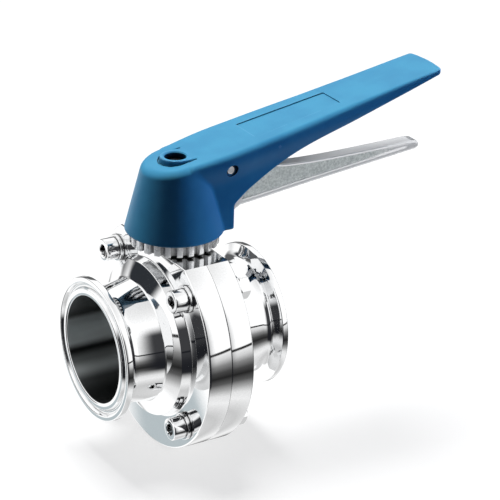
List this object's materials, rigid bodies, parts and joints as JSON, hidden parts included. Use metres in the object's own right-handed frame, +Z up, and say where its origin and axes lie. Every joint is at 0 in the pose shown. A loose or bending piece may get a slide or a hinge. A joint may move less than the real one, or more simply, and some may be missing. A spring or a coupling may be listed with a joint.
{
  "type": "hygienic butterfly valve",
  "caption": "Polished stainless shutoff butterfly valve with clamp ferrule ends, two bolted body halves, toothed index ring and a blue lever handle with squeeze trigger.",
  "frame": {"origin": "on the flat sealing land of the inlet ferrule's face, at the lowest point of the two-inch tube size: 25.4 mm straight below the pipe axis", "axes": "+X along the pipe from the inlet ferrule to the outlet ferrule, and along the handle when the valve is open; +Z up along the stem; the stem axis is at x = 40 mm and the pipe axis at z = 25.4 mm"},
  "size_m": [0.1704, 0.1016, 0.155],
  "materials": {
    "polished_steel": "mirror-polished stainless steel",
    "ring_steel": "satin machined stainless steel, toothed rim",
    "fastener_steel": "bright stainless fasteners",
    "cast_steel": "cast stainless: blasted grey sides, polished edges",
    "spring_steel": "drawn spring wire",
    "blue_plastic": "moulded glass-filled nylon, satin, faint fine grain",
    "seat_rubber": "white food-grade silicone",
    "ring_rubber": "black rubber cord",
    "bearing_plastic": "turned bearing plastic"
  },
  "bodies": {
    "valve_body": {"body_half_inlet": "polished_steel", "body_half_outlet": "polished_steel", "seat_seal": "seat_rubber", "stem_bush_upper": "bearing_plastic", "stem_bush_lower": "bearing_plastic", "stem_ring_upper": "ring_rubber", "stem_ring_lower": "ring_rubber", "index_ring": "ring_steel", "ring_screw_1": "fastener_steel", "ring_screw_2": "fastener_steel", "body_bolt_1": "fastener_steel", "bolt_washer_1": "fastener_steel", "nut_washer_1": "fastener_steel", "body_nut_1": "fastener_steel", "body_bolt_2": "fastener_steel", "bolt_washer_2": "fastener_steel", "nut_washer_2": "fastener_steel", "body_nut_2": "fastener_steel", "body_bolt_3": "fastener_steel", "bolt_washer_3": "fastener_steel", "nut_washer_3": "fastener_steel", "body_nut_3": "fastener_steel", "body_bolt_4": "fastener_steel", "bolt_washer_4": "fastener_steel", "nut_washer_4": "fastener_steel", "body_nut_4": "fastener_steel"},
    "handle": {"disc_with_stem": "polished_steel", "handle_body": "blue_plastic", "handle_screw": "fastener_steel", "handle_screw_washer": "fastener_steel", "trigger_pin": "fastener_steel", "trigger_spring": "spring_steel"},
    "trigger": {"trigger_lever": "cast_steel"}
  },
  "joints": [
    {"name": "handle_turn", "type": "hinge", "parent": "valve_body", "child": "handle", "pos_m": [0.04, 0, 0.0254], "axis": [0, 0, -1], "range_deg": [0, 90]},
    {"name": "trigger_squeeze", "type": "hinge", "parent": "handle", "child": "trigger", "pos_m": [0.0595, 0, 0.1028], "axis": [0, -1, 0], "range_deg": [0, 16], "stiffness_Nm_per_rad": 0.8}
  ]
}
